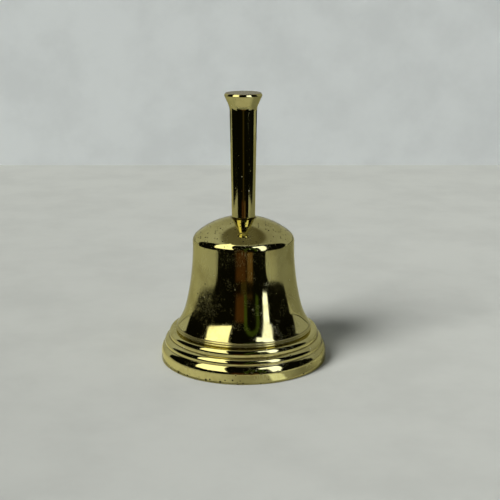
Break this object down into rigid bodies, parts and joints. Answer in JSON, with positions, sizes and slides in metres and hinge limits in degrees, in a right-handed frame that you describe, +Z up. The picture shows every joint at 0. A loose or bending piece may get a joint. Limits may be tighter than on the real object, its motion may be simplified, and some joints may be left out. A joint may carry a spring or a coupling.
{
  "type": "hand bell",
  "caption": "Small turned brass hand bell: domed crown, flared waist, stepped rim, slim handle with a flared flat top, and a clapper that swings on a wire ring.",
  "frame": {"origin": "centre of the bell's mouth, in the plane of the rim that it stands on", "axes": "+Z up the bell's axis through the handle, -Y towards the viewer, +X to the viewer's right"},
  "size_m": [0.075, 0.075, 0.12],
  "materials": {
    "polished_brass": "polished, lacquer worn off, with fine scratches and small dark pits",
    "clapper_brass": "turned, dulled by age",
    "plated_steel": "zinc plated, dulled",
    "leather_washer": "dark, oiled"
  },
  "bodies": {
    "bell": {"bell_shell": "polished_brass", "handle": "polished_brass", "clapper_staple": "plated_steel", "crown_leather_washer": "leather_washer", "crown_plain_washer": "plated_steel", "crown_nut": "plated_steel"},
    "link": {"swivel_link": "plated_steel"},
    "clapper": {"clapper_rod": "clapper_brass", "clapper_ball": "clapper_brass", "clapper_end_nut": "clapper_brass"}
  },
  "joints": [
    {"name": "link_swing", "type": "hinge", "parent": "bell", "child": "link", "pos_m": [0, 0, 0.0488], "axis": [0, 1, 0], "range_deg": [-30, 30]},
    {"name": "clapper_swing", "type": "hinge", "parent": "link", "child": "clapper", "pos_m": [0, 0, 0.04305], "axis": [1, 0, 0], "range_deg": [-6, 6]}
  ]
}
